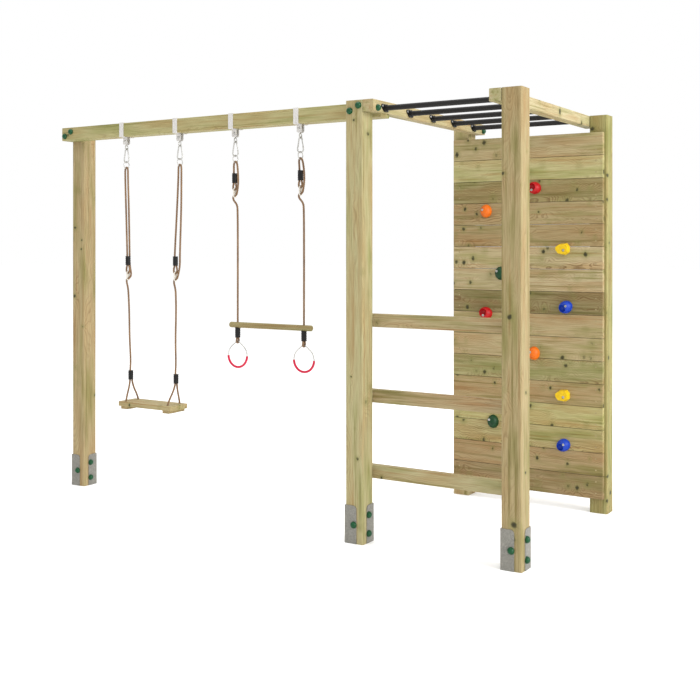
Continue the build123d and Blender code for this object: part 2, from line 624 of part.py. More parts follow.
def hanger_bolt(x):
    face = BEAM_MIDDLE - EAR_GAP / 2 - STRAP
    back = BEAM_MIDDLE + EAR_GAP / 2 + STRAP
    low = (Align.CENTER, Align.CENTER, Align.MIN)
    head = Cylinder(HANGER_HEAD / 2, HANGER_HEAD_HEIGHT, align=low)
    head = fillet(head.edges().group_by(Axis.Z)[-1], 3)
    shank = rod((x, face, HANGER_BOLT_Z), (x, back + HANGER_NUT_HEIGHT + 3, HANGER_BOLT_Z), HANGER_BOLT)
    bolt = shank + plane_at((x, face, HANGER_BOLT_Z), FRONT) * head
    bore = Cylinder(HANGER_BOLT / 2 + FIT, HANGER_NUT_HEIGHT, align=low)
    body = hexagon(HANGER_NUT_FLATS, HANGER_NUT_HEIGHT) - bore
    return [bolt, plane_at((x, back, HANGER_BOLT_Z), BACK) * body]


def torus_at(place, normal, radius, wire):
    return plane_at(place, normal) * Torus(radius, wire / 2)


def hanger_link(x):
    """Figure-of-eight wire link: upper eye round the bolt, lower eye turned a quarter."""
    upper = (HANGER_BOLT + LINK_WIRE) / 2 + LOOSE
    link = torus_at((x, BEAM_MIDDLE, HANGER_BOLT_Z), BACK, upper, LINK_WIRE)
    link += rod((x, BEAM_MIDDLE, HANGER_BOLT_Z - upper), (x, BEAM_MIDDLE, EYE_TOP_Z + LINK_EYE), LINK_WIRE)
    loop = SlotCenterToCenter(LINK_EYE_STRAIGHT, 2 * LINK_EYE, rotation=90).edges()
    path = Pos(x, BEAM_MIDDLE, EYE_TOP_Z - LINK_EYE_STRAIGHT / 2) * (Plane.YZ * Wire(loop))
    return link + swept(path, LINK_WIRE)


def carabiner_path():
    """Pear-shaped wire centre line in XZ, narrow end at the origin, running down."""
    drop = CARABINER_LENGTH - CARABINER_WIRE
    top = (0, -CARABINER_TOP)
    low = (0, -drop + CARABINER_BOTTOM)
    lean = math.asin((CARABINER_BOTTOM - CARABINER_TOP) / (top[1] - low[1]))
    side, rise = math.cos(lean), math.sin(lean)
    top_right = (top[0] + CARABINER_TOP * side, top[1] + CARABINER_TOP * rise)
    low_right = (low[0] + CARABINER_BOTTOM * side, low[1] + CARABINER_BOTTOM * rise)
    top_left, low_left = (-top_right[0], top_right[1]), (-low_right[0], low_right[1])
    return Wire([
        ThreePointArc(top_left, (0, 0), top_right), Line(top_right, low_right),
        ThreePointArc(low_right, (0, -drop), low_left), Line(low_left, top_left)]), top_right, low_right


def gate_line():
    """Lower and upper end of the gate, on the right side of the carabiner, in its own XZ plane."""
    path, top_right, low_right = carabiner_path()
    upper, lower = Vector(*top_right), Vector(*low_right)
    way = (upper - lower).normalized()
    middle = (upper + lower) * 0.5
    return middle - way * (GATE_LENGTH / 2), middle + way * (GATE_LENGTH / 2), way


def upright(point):
    return (point.X, 0, point.Y)


def carabiner():
    """Body with a gap for its gate, and the gate's pin."""
    path, top_right, low_right = carabiner_path()
    body = swept(Plane.XZ * path, CARABINER_WIRE)
    lower, upper, way = gate_line()
    gap_low, gap_high = lower + way * 4.0, upper + way * LOOSE
    body -= rod(upright(gap_low), upright(gap_high), CARABINER_WIRE + 1)
    slot_low, slot_high = lower - way * 5.0, gap_low + way * 1.0
    slot = rod(upright(slot_low), upright(slot_high), CARABINER_WIRE + 1)
    tongue = GATE_TONGUE / 2 + FIT
    body -= slot & block(-100, 100, -tongue, tongue, -200, 200)
    pin = rod((lower.X, -CARABINER_WIRE / 2, lower.Y), (lower.X, CARABINER_WIRE / 2, lower.Y), GATE_PIN)
    return body + pin


def gate():
    """Spring gate: a round bar with a flat tongue on the pin."""
    lower, upper, way = gate_line()
    start = lower + way * GATE_HEEL
    bar = rod(upright(start), upright(upper), GATE_WIRE)
    tongue = rod(upright(lower - way * 1.5), upright(start + way * 2), GATE_WIRE - 0.6)
    tongue += rod((lower.X, -3, lower.Y), (lower.X, 3, lower.Y), GATE_WIRE - 0.6)
    tongue &= block(-100, 100, -GATE_TONGUE / 2, GATE_TONGUE / 2, -200, 200)
    bore = rod((lower.X, -5, lower.Y), (lower.X, 5, lower.Y), GATE_PIN + 0.1)
    return bar + tongue - bore


def gate_pivot(x):
    """Place of a gate's pin in the site frame."""
    lower = gate_line()[0]
    return (x + lower.X, BEAM_MIDDLE, CARABINER_HANG + lower.Y)


CARABINER_HANG = PIVOT_Z


def make_hangers():
    every = SEAT_HANGERS + TRAPEZE_HANGERS
    parts["hanger_straps"] = group(hanger_strap(x) for x in every)
    parts["hanger_bolts"] = group(piece for x in every for piece in hanger_bolt(x))
    parts["hanger_links"] = group(hanger_link(x) for x in every)
    for name, hangers in (("seat", SEAT_HANGERS), ("trapeze", TRAPEZE_HANGERS)):
        spots = [Pos(x, BEAM_MIDDLE, CARABINER_HANG) for x in hangers]
        body, closer = carabiner(), gate()
        parts[f"{name}_carabiners"] = group(spot * body for spot in spots)
        parts[f"{name}_gate_left"] = spots[0] * closer
        parts[f"{name}_gate_right"] = spots[1] * closer
        places = [(x, BEAM_MIDDLE, ROPE_RING_Z) for x in hangers]
        rings = [torus_at(place, RIGHT, ROPE_RING_RADIUS, ROPE_RING_WIRE) for place in places]
        parts[f"{name}_rope_rings"] = group(rings)


# ---------------------------------------------------------------- ropes
def turn_radii(points):
    """Radius of each corner of a rope's route: 0.45 of the shorter run over tan(half the turn)."""
    radii = []
    for before, here, after in zip(points, points[1:], points[2:]):
        run_in, run_out = Vector(*here) - Vector(*before), Vector(*after) - Vector(*here)
        half_turn = math.radians(run_in.get_angle(run_out)) / 2
        radii.append(0.45 * min(run_in.length, run_out.length) / math.tan(half_turn))
    return radii


def rope(name, points):
    """Rope along straight runs joined by tangent arcs."""
    radii = turn_radii(points)
    path = FilletPolyline(*[Vector(*p) for p in points], radius=radii)
    solid = swept(path, ROPE)
    expected = math.pi * ROPE ** 2 / 4 * path.length
    print(name, "length", round(path.length, 1), "volume ratio", round(solid.volume / expected, 4),
          "radii", [round(r, 1) for r in radii])
    parts[name] = solid


def placed(x, points):
    """Points given from a hanger's own middle, in the site frame."""
    return [(x + dx, BEAM_MIDDLE + dy, z) for dx, dy, z in points]


def eye_points(sleeve, top, drop, wide):
    """Tail down out of a sleeve, round through the adjuster and back up into the sleeve."""
    low = top - SLEEVE_HEIGHT
    bottom = low - drop
    return [
        (sleeve + STRAND_REACH, 0, top - 6),
        (sleeve + STRAND_REACH + 0.3, 0, low - 1),
        (sleeve + wide, 0, low - drop * 0.47),
        (sleeve + 9, 0, bottom),
        (sleeve - 9, 0, bottom),
        (sleeve - wide, 0, low - drop * 0.47),
        (sleeve - STRAND_REACH - 0.3, 0, low - 1),
    ]


def weave_points(sleeve, eye, lead, out):
    """Through the adjuster's lower hole from the right, round its foot and on down."""
    hole = eye - ADJUSTER_PITCH
    return [
        (sleeve + 17, lead, hole + 19),
        (sleeve + 10, 0, hole),
        (sleeve - 9, 0, hole - 1),
        (sleeve - 11, 0, hole - 21),
        (out - 5, 0, hole - 46),
        (out, 0, hole - 76),
    ]


def hairpin_points():
    """Up and over the rope ring."""
    down = ROPE_TOP_Z - 60
    top = ROPE_TOP_Z
    return [(-HAIRPIN + 0.4, 0, down), (-HAIRPIN, 0, top), (HAIRPIN, 0, top), (HAIRPIN - 0.2, 0, down)]


def seat_route(side):
    """Route of a seat rope, from its tail in the upper sleeve to its other end in the lower one."""
    x = SEAT_HANGERS[side]
    sleeve, low = SEAT_SLEEVE_REACH[side], SEAT_LOW_SLEEVE_REACH[side]
    eye = SEAT_SLEEVE_TOP - SLEEVE_HEIGHT - EYE_DROP
    hidden = side == 0
    behind = 21 if hidden else 4
    beside = 3 if hidden else -4
    points = eye_points(sleeve, SEAT_SLEEVE_TOP, EYE_DROP, 13)
    points += [(sleeve - STRAND_REACH, 0, 1352), (sleeve * 0.4 - 8, 0, 1600)]
    points += hairpin_points()
    points += [(8, behind * 0.5, 1600), (beside, behind, 1362), (beside + 1, behind, 1296)]
    points += weave_points(sleeve, eye, behind * 0.5, sleeve + 3)
    points += [(sleeve * 0.75 + low * 0.25 + 3, 1, 1040), (low * 0.7 + sleeve * 0.3 - 2, -1, 890)]
    points += [(low, 0, 765)]
    down = SEAT_LOW_SLEEVE_TOP - SLEEVE_HEIGHT
    points += [(low, -STRAND_REACH, SEAT_LOW_SLEEVE_TOP - 2), (low + 0.3, -STRAND_REACH, down - 18)]
    hole = SEAT_HOLE_X[side] - x
    reach = SEAT_HOLE_REACH
    points += [(hole, -reach + 1, SEAT_TOP + 10), (hole, -reach - 0.5, SEAT_BOTTOM)]
    points += [(hole, -reach, ROPE_UNDER_Z), (hole, reach, ROPE_UNDER_Z)]
    points += [(hole, reach + 0.5, SEAT_BOTTOM), (hole, reach - 1, SEAT_TOP + 10)]
    points += [(low, STRAND_REACH + 0.3, down - 18), (low, STRAND_REACH, SEAT_LOW_SLEEVE_TOP - 8)]
    return placed(x, points)


def trapeze_route(side):
    """Route of a trapeze rope, from its tail in the upper sleeve to its other end under the bar."""
    x = TRAPEZE_HANGERS[side]
    sleeve, out = TRAPEZE_SLEEVE_REACH[side], TRAPEZE_ROPE_REACH[side]
    eye = TRAPEZE_SLEEVE_TOP - SLEEVE_HEIGHT - SHORT_EYE_DROP
    points = eye_points(sleeve, TRAPEZE_SLEEVE_TOP, SHORT_EYE_DROP, 11)
    points += hairpin_points()[:3]
    points[-3] = (sleeve - STRAND_REACH, 0, TRAPEZE_SLEEVE_TOP + 2)
    points += [(sleeve + 22, 0, TRAPEZE_SLEEVE_TOP + 1)]
    points += [(sleeve + 24, 0, TRAPEZE_SLEEVE_TOP - SLEEVE_HEIGHT)]
    points += weave_points(sleeve, eye, 0, out)
    points += [(out + 0.6, 0, 1300), (out, 0, 1050)]
    low = TRAPEZE_LOW_SLEEVE_BOTTOM
    points += [(out, 0, TRAPEZE_HEIGHT - 8), (out, -6.5, low - 2)]
    points += [(out, -EYE_APEX_GAP, ROPE_EYE_Z), (out, EYE_APEX_GAP, ROPE_EYE_Z)]
    points += [(out, 6.5, low - 2), (out, 6.4, low + 14)]
    return placed(x, points)


def sleeve_body(along_x):
    """Ribbed plastic sleeve round two strands, standing on Z = 0."""
    low = (Align.CENTER, Align.CENTER, Align.MIN)
    body = Cylinder(SLEEVE_DIAMETER / 2, SLEEVE_HEIGHT, align=low)
    step = (SLEEVE_HEIGHT - SLEEVE_RIB_HEIGHT) / (SLEEVE_RIBS - 1)
    for i in range(SLEEVE_RIBS):
        body += Pos(0, 0, i * step) * Cylinder(SLEEVE_RIB / 2, SLEEVE_RIB_HEIGHT, align=low)
    slot = SlotOverall(2 * STRAND_REACH + ROPE + SLEEVE_ROOM, ROPE + 2, rotation=0 if along_x else 90)
    return body - extrude(slot, SLEEVE_HEIGHT)


def adjuster():
    """Figure-of-eight plate across X, its upper hole's centre at the origin."""
    hole = ADJUSTER_HOLE / 2
    plate = SlotCenterToCenter(ADJUSTER_PITCH, ADJUSTER_WIDTH, rotation=90)
    shape = Pos(0, -ADJUSTER_PITCH / 2) * plate - Circle(hole) - Pos(0, -ADJUSTER_PITCH) * Circle(hole)
    solid = extrude(Plane.YZ * shape, ADJUSTER / 2, both=True)
    return fillet(solid.edges().filter_by(GeomType.CIRCLE), 1.0)


def make_ropes():
    for side, name in enumerate(("left", "right")):
        rope(f"seat_rope_{name}", seat_route(side))
        rope(f"trapeze_rope_{name}", trapeze_route(side))
    across, deep, plate = sleeve_body(True), sleeve_body(False), adjuster()
    for name, hangers, reach, top, drop in (
            ("seat", SEAT_HANGERS, SEAT_SLEEVE_REACH, SEAT_SLEEVE_TOP, EYE_DROP),
            ("trapeze", TRAPEZE_HANGERS, TRAPEZE_SLEEVE_REACH, TRAPEZE_SLEEVE_TOP, SHORT_EYE_DROP)):
        bottom = top - SLEEVE_HEIGHT
        spots = [x + dx for x, dx in zip(hangers, reach)]
        sleeves = [Pos(x, BEAM_MIDDLE, bottom) * across for x in spots]
        if name == "seat":
            lower = [x + dx for x, dx in zip(SEAT_HANGERS, SEAT_LOW_SLEEVE_REACH)]
            foot = SEAT_LOW_SLEEVE_TOP - SLEEVE_HEIGHT
        else:
            lower, foot = TRAPEZE_ROPE_X, TRAPEZE_LOW_SLEEVE_BOTTOM
        sleeves += [Pos(x, BEAM_MIDDLE, foot) * deep for x in lower]
        parts[f"{name}_rope_sleeves"] = group(sleeves)
        parts[f"{name}_rope_adjusters"] = group(Pos(x, BEAM_MIDDLE, bottom - drop) * plate for x in spots)


# ---------------------------------------------------------------- seat, trapeze bar and gym rings
def make_seat():
    front, back = BEAM_MIDDLE - SEAT_DEPTH / 2, BEAM_MIDDLE + SEAT_DEPTH / 2
    left, right = SEAT_CENTRE - SEAT_LENGTH / 2, SEAT_CENTRE + SEAT_LENGTH / 2
    board = block(left, right, front, back, SEAT_BOTTOM, SEAT_TOP)
    board = fillet(board.edges().filter_by(Axis.Z), SEAT_CORNER)
    board = fillet(board.edges().group_by(Axis.Z)[-1], 3)
    spots = [(x, BEAM_MIDDLE + side * SEAT_HOLE_REACH) for x in SEAT_HOLE_X for side in (-1, 1)]
    holes = [rod((x, y, BATTEN_BOTTOM), (x, y, SEAT_TOP), SEAT_HOLE) for x, y in spots]
    screws, cuts, battens = [], [], []
    for x in SEAT_HOLE_X:
        for side in (-1, 1):
            face = (x + side * 10, BEAM_MIDDLE + side * SEAT_SCREW_REACH, BATTEN_BOTTOM)
            screws.append(wood_screw(face, UP, SEAT_SCREW, SEAT_SCREW_HEAD, SEAT_SCREW_LENGTH))
            cuts.append(screw_hole(face, UP, SEAT_SCREW, SEAT_SCREW_HEAD, SEAT_SCREW_LENGTH))
    for x in SEAT_HOLE_X:
        batten = timber(x - BATTEN_WIDTH / 2, x + BATTEN_WIDTH / 2, front + BATTEN_INSET,
                        back - BATTEN_INSET, BATTEN_BOTTOM, SEAT_BOTTOM, Axis.Y, 2)
        near, far = BEAM_MIDDLE - SEAT_HOLE_REACH, BEAM_MIDDLE + SEAT_HOLE_REACH
        groove = rod((x, near, ROPE_UNDER_Z), (x, far, ROPE_UNDER_Z), ROPE + 1)
        battens.append(cut(batten, holes + cuts + [groove]))
    parts["seat_board"] = cut(board, holes + cuts)
    parts["seat_battens"] = group(battens)
    parts["seat_screws"] = group(screws)


def make_trapeze():
    half = TRAPEZE_LENGTH / 2
    middle = (TRAPEZE_CENTRE, BEAM_MIDDLE, TRAPEZE_HEIGHT)
    bar = rod(along(middle, LEFT, half), along(middle, RIGHT, half), TRAPEZE_BAR)
    bar = fillet(bar.edges().filter_by(GeomType.CIRCLE), TRAPEZE_BAR * 0.3)
    reach = TRAPEZE_BAR
    for x in TRAPEZE_ROPE_X:
        spot = (x, BEAM_MIDDLE, TRAPEZE_HEIGHT)
        bar -= rod(along(spot, DOWN, reach), along(spot, UP, reach), TRAPEZE_HOLE)
    parts["trapeze_bar"] = bar
    for x, name in zip(TRAPEZE_ROPE_X, ("left", "right")):
        spot = Pos(x, BEAM_MIDDLE, RING_PIVOT_Z - RING_APEX)
        parts[f"gym_ring_{name}"] = spot * gym_ring()
        parts[f"ring_grip_{name}"] = spot * ring_grip()


def gym_ring():
    """Wire ring with a pointed top, in XZ, its round part's centre at the origin."""
    corner = RING_APEX + RING_APEX_RADIUS * (1 / math.sin(math.radians(51.6)) - 1)
    lean = math.asin(RING_RADIUS / corner)
    side = (RING_RADIUS * math.cos(lean), RING_RADIUS * math.sin(lean))
    apex = corner - RING_APEX_RADIUS / math.sin(lean)
    near = (RING_APEX_RADIUS * math.cos(lean), apex + RING_APEX_RADIUS * math.sin(lean))
    far, other = (-near[0], near[1]), (-side[0], side[1])
    loop = Wire([
        ThreePointArc(far, (0, apex + RING_APEX_RADIUS), near), Line(near, side),
        ThreePointArc(side, (0, -RING_RADIUS), other), Line(other, far)])
    return swept(Plane.XZ * loop, RING_WIRE)


def ring_grip():
    """Moulded sleeve on the lower half of a ring."""
    angle = math.radians(RING_GRIP_HALF_ANGLE)
    end = (RING_RADIUS * math.sin(angle), -RING_RADIUS * math.cos(angle))
    arc = Plane.XZ * ThreePointArc((-end[0], end[1]), (0, -RING_RADIUS), end)
    return swept(arc, RING_GRIP) - swept(arc, RING_WIRE + 2 * FIT)


# ---------------------------------------------------------------- build
def build():
    make_posts()
    make_beam_and_rails()
    make_rungs()
    make_monkey_bars()
    make_boards()
    make_holds()
    make_anchors()
    make_fasteners()
    make_hangers()
    make_ropes()
    make_seat()
    make_trapeze()


def site_origin():
    """Middle of the footprint, on the ground, in the site frame."""
    boxes = [piece.bounding_box() for piece in parts.values()]
    x = (min(b.min.X for b in boxes) + max(b.max.X for b in boxes)) / 2
    y = (min(b.min.Y for b in boxes) + max(b.max.Y for b in boxes)) / 2
    return x, y


build()
ORIGIN = site_origin()
os.makedirs("parts", exist_ok=True)
for node, shape in parts.items():
    export_step(Pos(-ORIGIN[0], -ORIGIN[1], 0) * shape, f"parts/{node}.step")
print(len(parts), "nodes, origin at", [round(value, 2) for value in ORIGIN])
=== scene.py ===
"""Looks for a timber climbing frame: swing, trapeze with gym rings, monkey bars, ladder and climbing wall.

Each node keeps the place that the frame gives it. The ropes follow the routes of the frame's own ropes.
"""
import math

import bmesh
import bpy
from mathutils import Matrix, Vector


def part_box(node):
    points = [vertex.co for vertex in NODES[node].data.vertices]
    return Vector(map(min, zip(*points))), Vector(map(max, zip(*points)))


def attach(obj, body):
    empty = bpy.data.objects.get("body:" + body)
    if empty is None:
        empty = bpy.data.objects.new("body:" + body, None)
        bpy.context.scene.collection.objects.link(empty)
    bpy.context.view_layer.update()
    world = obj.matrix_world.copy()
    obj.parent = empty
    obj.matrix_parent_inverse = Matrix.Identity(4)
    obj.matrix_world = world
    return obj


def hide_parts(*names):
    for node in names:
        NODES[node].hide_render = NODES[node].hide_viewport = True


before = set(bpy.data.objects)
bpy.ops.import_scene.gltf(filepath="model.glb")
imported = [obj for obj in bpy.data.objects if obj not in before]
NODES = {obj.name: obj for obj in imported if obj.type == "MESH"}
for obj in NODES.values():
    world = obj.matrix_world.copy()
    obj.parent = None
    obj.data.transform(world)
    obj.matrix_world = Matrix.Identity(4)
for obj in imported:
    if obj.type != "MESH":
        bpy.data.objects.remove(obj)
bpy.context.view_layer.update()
MM = 0.001


# ---------------------------------------------------------------- places
SITE = Vector((1.4475, -0.61475, 0.0))       # the front right post's outer corner
CAMERA_PLACE = (1729.4, -4188.3, 1398.4)      # from that corner, in millimetres
CAMERA_TURN = 31.776                          # degrees to the left of straight ahead
SENSOR, FOCAL_LENGTH, LENS_SHIFT = 36.0, 53.67, -0.1472


def site(x, y, z):
    """A place in millimetres from the front right post's outer corner, in the model's frame."""
    return SITE + Vector((x, y, z)) * MM


def make_camera():
    lens = bpy.data.cameras.new("camera")
    lens.sensor_width = SENSOR
    lens.lens = FOCAL_LENGTH
    lens.shift_y = LENS_SHIFT
    camera = bpy.data.objects.new("camera", lens)
    camera.location = site(*CAMERA_PLACE)
    camera.rotation_euler = (math.radians(90.0), 0.0, math.radians(CAMERA_TURN))
    bpy.context.collection.objects.link(camera)
    bpy.context.scene.camera = camera


make_camera()


# ---------------------------------------------------------------- the ropes' routes
# millimetres from the front right post's outer corner, and pairs are the left one and the right one
BEAM_MIDDLE = 135.0
ROPE_TOP = 1845.15                            # the rope's middle where it turns over the rope ring
HAIRPIN = 10.7                                # half width of that turn
REACH = 5.4                                   # from a sleeve's middle to each of the two strands in it
SLEEVE = 50.0                                 # a sleeve's height
EYE_DROP, SHORT_EYE_DROP = 44.0, 36.0         # the adjuster's eye below its sleeve, seat and trapeze
EYE_WIDE, SHORT_EYE_WIDE = 13, 11             # half width of that eye
ADJUSTER_PITCH = 30.0
SEAT_SLEEVE_TOP, SEAT_LOW_SLEEVE_TOP = 1347.0, 707.0
SEAT_TOP, SEAT_BOTTOM, UNDER_SEAT = 541.0, 516.0, 498.75
SEAT_HANGERS = (-2425.0, -2033.0)
SEAT_HOLES = (-2382.0, -2078.0)
SEAT_HOLE_REACH = 50                          # from the seat's middle to its front and back holes
SEAT_SLEEVES = (11.0, -32.0)                  # from the hanger to the upper sleeve
SEAT_LOW_SLEEVES = (32.0, -28.0)
TRAPEZE_SLEEVE_TOP = 1783.0
TRAPEZE_LOW_SLEEVE_BOTTOM = 926.7
TRAPEZE_HEIGHT = 992.0                        # the bar's middle
TRAPEZE_HANGERS = (-1653.0, -1241.0)
TRAPEZE_SLEEVES = (-5.0, 0.0)
TRAPEZE_REACH = (15.0, 21.0)                  # from the hanger to the rope at the bar
EYE_Z = 898.95                                # lower turn of the rope eyes that hold the gym rings
EYE_APEX = 12.5                               # half width of those eyes


def eye_points(sleeve, top, drop, wide):
    """Tail down out of a sleeve, round through the adjuster and back up into the sleeve."""
    low = top - SLEEVE
    bottom = low - drop
    return [
        (sleeve + REACH, 0, top - 6),
        (sleeve + REACH + 0.3, 0, low - 1),
        (sleeve + wide, 0, low - drop * 0.47),
        (sleeve + 9, 0, bottom),
        (sleeve - 9, 0, bottom),
        (sleeve - wide, 0, low - drop * 0.47),
        (sleeve - REACH - 0.3, 0, low - 1),
    ]


def weave_points(sleeve, eye, lead, out):
    """Through the adjuster's lower hole from the right, round its foot and on down."""
    hole = eye - ADJUSTER_PITCH
    return [
        (sleeve + 17, lead, hole + 19),
        (sleeve + 10, 0, hole),
        (sleeve - 9, 0, hole - 1),
        (sleeve - 11, 0, hole - 21),
        (out - 5, 0, hole - 46),
        (out, 0, hole - 76),
    ]


def hairpin_points():
    """Up and over the rope ring."""
    down = ROPE_TOP - 60
    return [(-HAIRPIN + 0.4, 0, down), (-HAIRPIN, 0, ROPE_TOP),
            (HAIRPIN, 0, ROPE_TOP), (HAIRPIN - 0.2, 0, down)]


def seat_route(side):
    """A seat rope, from its tail in the upper sleeve to its other end in the lower one."""
    x, sleeve, low = SEAT_HANGERS[side], SEAT_SLEEVES[side], SEAT_LOW_SLEEVES[side]
    eye = SEAT_SLEEVE_TOP - SLEEVE - EYE_DROP
    behind, beside = ((21, 3), (4, -4))[side]
    points = eye_points(sleeve, SEAT_SLEEVE_TOP, EYE_DROP, EYE_WIDE)
    points += [(sleeve - REACH, 0, 1352), (sleeve * 0.4 - 8, 0, 1600)]
    points += hairpin_points()
    points += [(8, behind * 0.5, 1600), (beside, behind, 1362), (beside + 1, behind, 1296)]
    points += weave_points(sleeve, eye, behind * 0.5, sleeve + 3)
    points += [(sleeve * 0.75 + low * 0.25 + 3, 1, 1040), (low * 0.7 + sleeve * 0.3 - 2, -1, 890)]
    points += [(low, 0, 765)]
    down = SEAT_LOW_SLEEVE_TOP - SLEEVE - 18
    points += [(low, -REACH, SEAT_LOW_SLEEVE_TOP - 2), (low + 0.3, -REACH, down)]
    hole, reach = SEAT_HOLES[side] - x, SEAT_HOLE_REACH
    points += [(hole, -reach + 1, SEAT_TOP + 10), (hole, -reach - 0.5, SEAT_BOTTOM)]
    points += [(hole, -reach, UNDER_SEAT), (hole, reach, UNDER_SEAT)]
    points += [(hole, reach + 0.5, SEAT_BOTTOM), (hole, reach - 1, SEAT_TOP + 10)]
    points += [(low, REACH + 0.3, down), (low, REACH, SEAT_LOW_SLEEVE_TOP - 8)]
    return [site(x + dx, BEAM_MIDDLE + dy, z) for dx, dy, z in points]


def trapeze_route(side):
    """A trapeze rope, from its tail in the upper sleeve to its other end under the bar."""
    x, sleeve, out = TRAPEZE_HANGERS[side], TRAPEZE_SLEEVES[side], TRAPEZE_REACH[side]
    top, low = TRAPEZE_SLEEVE_TOP, TRAPEZE_LOW_SLEEVE_BOTTOM
    eye = top - SLEEVE - SHORT_EYE_DROP
    points = eye_points(sleeve, top, SHORT_EYE_DROP, SHORT_EYE_WIDE)
    points += [(sleeve - REACH, 0, top + 2), (-HAIRPIN, 0, ROPE_TOP), (HAIRPIN, 0, ROPE_TOP)]
    points += [(sleeve + 22, 0, top + 1), (sleeve + 24, 0, top - SLEEVE)]
    points += weave_points(sleeve, eye, 0, out)
    points += [(out + 0.6, 0, 1300), (out, 0, 1050), (out, 0, TRAPEZE_HEIGHT - 8), (out, -6.5, low - 2)]
    points += [(out, -EYE_APEX, EYE_Z), (out, EYE_APEX, EYE_Z), (out, 6.5, low - 2), (out, 6.4, low + 14)]
    return [site(x + dx, BEAM_MIDDLE + dy, z) for dx, dy, z in points]


# ---------------------------------------------------------------- laid rope
STRANDS = 3
STRAND_RADIUS = 3.0 * MM
STRAND_OFFSET = 2.6 * MM                      # from the rope's middle to a strand's
STRAND_SIDES = 8
LAY = 29.0 * MM                               # one full turn of the three strands
ROPE_STEP = 2.4 * MM                          # between two points of a strand


def new_object(name, data):
    piece = bpy.data.objects.new(name, data)
    bpy.context.collection.objects.link(piece)
    return piece


def mesh_of(name, curve):
    """A curve's shape, as a mesh."""
    guide = new_object(name, curve)
    bpy.context.view_layer.update()
    mesh = bpy.data.meshes.new_from_object(guide.evaluated_get(bpy.context.evaluated_depsgraph_get()))
    bpy.data.objects.remove(guide)
    return mesh


def line_of(name, points):
    """The smooth line of a route, as points."""
    curve = bpy.data.curves.new(name, "CURVE")
    curve.dimensions = "3D"
    curve.resolution_u = 16
    spline = curve.splines.new("NURBS")
    spline.points.add(len(points) - 1)
    for control, place in zip(spline.points, points):
        control.co = (*place, 1.0)
    spline.order_u = 3
    spline.use_endpoint_u = True
    return [vertex.co.copy() for vertex in mesh_of(name, curve).vertices]


def even_line(line, step):
    """The same line with points an equal distance apart."""
    total = sum((b - a).length for a, b in zip(line, line[1:]))
    count = round(total / step)
    spaced, travelled, index = [line[0].copy()], 0.0, 0
    for number in range(1, count):
        target = total * number / count
        while travelled + (line[index + 1] - line[index]).length < target:
            travelled += (line[index + 1] - line[index]).length
            index += 1
        span = (line[index + 1] - line[index]).length
        spaced.append(line[index].lerp(line[index + 1], (target - travelled) / span))
    return spaced + [line[-1].copy()], total


def strand_places(line, turn):
    """Points of one strand, wound round the line."""
    side = (line[1] - line[0]).orthogonal().normalized()
    places = []
    for index, point in enumerate(line):
        ahead = line[min(index + 1, len(line) - 1)] - line[max(index - 1, 0)]
        ahead.normalize()
        side = (side - ahead * side.dot(ahead)).normalized()
        angle = turn + 2 * math.pi * index * ROPE_STEP / LAY
        around = side * math.cos(angle) + ahead.cross(side) * math.sin(angle)
        places.append(point + around * STRAND_OFFSET)
    return places


def strand_mesh(name, places):
    """A round strand along the points, as a mesh."""
    curve = bpy.data.curves.new(name, "CURVE")
    curve.dimensions = "3D"
    curve.bevel_depth = STRAND_RADIUS
    curve.bevel_resolution = STRAND_SIDES // 2 - 2
    curve.use_fill_caps = True
    spline = curve.splines.new("POLY")
    spline.points.add(len(places) - 1)
    for control, place in zip(spline.points, places):
        control.co = (*place, 1.0)
    return mesh_of(name, curve)


def laid_rope(name, points):
    """Three-strand rope along a route. Gives the piece, its line and its length."""
    line, length = even_line(line_of(name + "_line", points), ROPE_STEP)
    shape = bmesh.new()
    for strand in range(STRANDS):
        mesh = strand_mesh(name + "_strand", strand_places(line, 2 * math.pi * strand / STRANDS))
        shape.from_mesh(mesh)
        bpy.data.meshes.remove(mesh)
    for face in shape.faces:
        face.smooth = True
    mesh = bpy.data.meshes.new(name)
    shape.to_mesh(mesh)
    shape.free()
    return new_object(name, mesh), line, length


ROPES = []


def make_ropes():
    for body, route in (("seat", seat_route), ("trapeze", trapeze_route)):
        for side, word in enumerate(("left", "right")):
            node = f"{body}_rope_{word}"
            piece, line, length = laid_rope(node + "_laid", route(side))
            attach(piece, body)
            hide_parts(node)
            ROPES.append(piece)


make_ropes()


# ---------------------------------------------------------------- materials
SCREEN_CURVE = 0.45                           # turns a level of light into a level of grey


def colour(code):
    """sRGB hex to linear."""
    parts = [int(code[i:i + 2], 16) / 255 for i in (1, 3, 5)]
    return [c / 12.92 if c <= 0.04045 else ((c + 0.055) / 1.055) ** 2.4 for c in parts] + [1.0]


def grey(level):
    """The hex code of the grey that a level of light between 0 and 1 is seen as."""
    return "#" + f"{round(255 * level ** SCREEN_CURVE):02x}" * 3


def add(tree, kind, inputs=(), stops=(), **settings):
    """Adds a node with its settings, the stops of its colour band and its links. An input takes a number,
    a colour, an output, or a node whose first live output is meant."""
    node = tree.nodes.new(kind)
    for key, value in settings.items():
        setattr(node, key, value)
    for index, (place, code) in enumerate(stops):
        band = node.color_ramp.elements
        element = band[index] if index < 2 else band.new(place)
        element.position, element.color = place, colour(code)
    for key, value in dict(inputs).items():
        if isinstance(value, bpy.types.Node):
            value = next(output for output in value.outputs if output.enabled)
        if isinstance(value, bpy.types.NodeSocket):
            tree.links.new(value, node.inputs[key])
        else:
            node.inputs[key].default_value = value
    return node


def start(name):
    """A new material, its nodes, its surface shader and its object coordinates."""
    material = bpy.data.materials.new(name)
    material.use_nodes = True
    tree = material.node_tree
    return material, tree, tree.nodes["Principled BSDF"], add(tree, "ShaderNodeTexCoord").outputs["Object"]


def paint(node, material):
    """Gives a node of the frame its material."""
    piece = NODES[node]
    piece.data.materials.clear()
    piece.data.materials.append(material)


